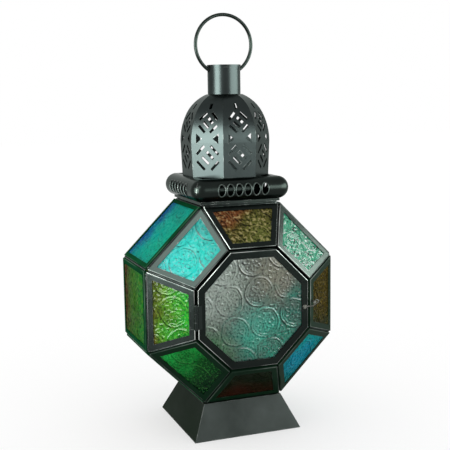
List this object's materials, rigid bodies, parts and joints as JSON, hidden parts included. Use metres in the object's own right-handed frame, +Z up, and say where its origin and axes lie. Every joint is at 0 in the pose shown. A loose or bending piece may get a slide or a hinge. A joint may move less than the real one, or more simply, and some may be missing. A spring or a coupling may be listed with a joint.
{
  "type": "candle lantern",
  "caption": "Octagonal candle lantern of black sheet metal and coloured pressed glass, with a hinged glass door, a punched dome, a carrying ring and a square foot.",
  "frame": {"origin": "middle of the square foot's resting face", "axes": "+Z up, +X to the right seen from the front, -Y towards the front, where the door is"},
  "size_m": [0.15, 0.1147, 0.3143],
  "materials": {
    "black_sheet": "satin black lacquer on thin sheet steel, worn to bare metal along the folds",
    "dark_wire": "dark satin steel wire",
    "bare_steel": "bare drawn steel wire, a little tarnished",
    "amber_glass": "pressed glass, amber to red stain",
    "turquoise_glass": "pressed glass, turquoise stain",
    "lime_glass": "pressed glass, lime green with amber stain",
    "emerald_glass": "pressed glass, emerald green stain",
    "brown_glass": "pressed glass, dark brown stain",
    "blue_glass": "pressed glass, blue to teal stain",
    "olive_glass": "pressed glass, olive and amber stain",
    "mint_glass": "pressed glass, mint green stain",
    "teal_glass": "pressed glass, teal stain with a blue edge",
    "rose_glass": "pressed glass, pale rose to olive stain",
    "clear_glass": "pressed glass, clear, faintly grey"
  },
  "bodies": {
    "drum": {"back_bevel_frames": "black_sheet", "back_pane_bottom": "emerald_glass", "back_pane_left": "lime_glass", "back_pane_lower_left": "teal_glass", "back_pane_lower_right": "turquoise_glass", "back_pane_right": "rose_glass", "back_pane_top": "blue_glass", "back_pane_upper_left": "mint_glass", "back_pane_upper_right": "olive_glass", "back_window_frame": "black_sheet", "back_window_pane": "clear_glass", "candle_cup": "black_sheet", "collar": "black_sheet", "crown_plate": "black_sheet", "crown_tube_back": "black_sheet", "crown_tube_front": "black_sheet", "crown_tube_left": "black_sheet", "crown_tube_right": "black_sheet", "dome": "black_sheet", "door_stop": "black_sheet", "floor_plate": "black_sheet", "foot": "black_sheet", "front_frame_bottom": "black_sheet", "front_frame_left": "black_sheet", "front_frame_lower_left": "black_sheet", "front_frame_lower_right": "black_sheet", "front_frame_right": "black_sheet", "front_frame_top": "black_sheet", "front_frame_upper_left": "black_sheet", "front_frame_upper_right": "black_sheet", "front_pane_bottom": "brown_glass", "front_pane_left": "lime_glass", "front_pane_lower_left": "emerald_glass", "front_pane_lower_right": "blue_glass", "front_pane_right": "olive_glass", "front_pane_top": "amber_glass", "front_pane_upper_left": "turquoise_glass", "front_pane_upper_right": "mint_glass", "hinge_leaf_body": "black_sheet", "hinge_pin": "dark_wire", "latch_keeper": "bare_steel", "rim_frame_left": "black_sheet", "rim_frame_lower_left": "black_sheet", "rim_frame_lower_right": "black_sheet", "rim_frame_right": "black_sheet", "rim_frame_upper_left": "black_sheet", "rim_frame_upper_right": "black_sheet", "rim_pane_left": "lime_glass", "rim_pane_lower_left": "amber_glass", "rim_pane_lower_right": "teal_glass", "rim_pane_right": "rose_glass", "rim_pane_upper_left": "teal_glass", "rim_pane_upper_right": "olive_glass", "roof_plate": "black_sheet"},
    "door": {"door_frame": "black_sheet", "door_pane": "clear_glass", "hinge_leaf_door": "black_sheet", "latch_rivet": "bare_steel"},
    "hook": {"latch_hook": "bare_steel"},
    "ring": {"ring_handle": "dark_wire"}
  },
  "joints": [
    {"name": "door_swing", "type": "hinge", "parent": "drum", "child": "door", "pos_m": [-0.0449, -0.05713, 0.09825], "axis": [0, 0, -1], "range_deg": [0, 150]},
    {"name": "hook_turn", "type": "hinge", "parent": "door", "child": "hook", "pos_m": [0.0399, -0.056, 0.09825], "axis": [0, 1, 0], "range_deg": [0, 100]},
    {"name": "ring_swing", "type": "hinge", "parent": "drum", "child": "ring", "pos_m": [0, 0, 0.2725], "axis": [1, 0, 0], "range_deg": [-125, 125]}
  ]
}
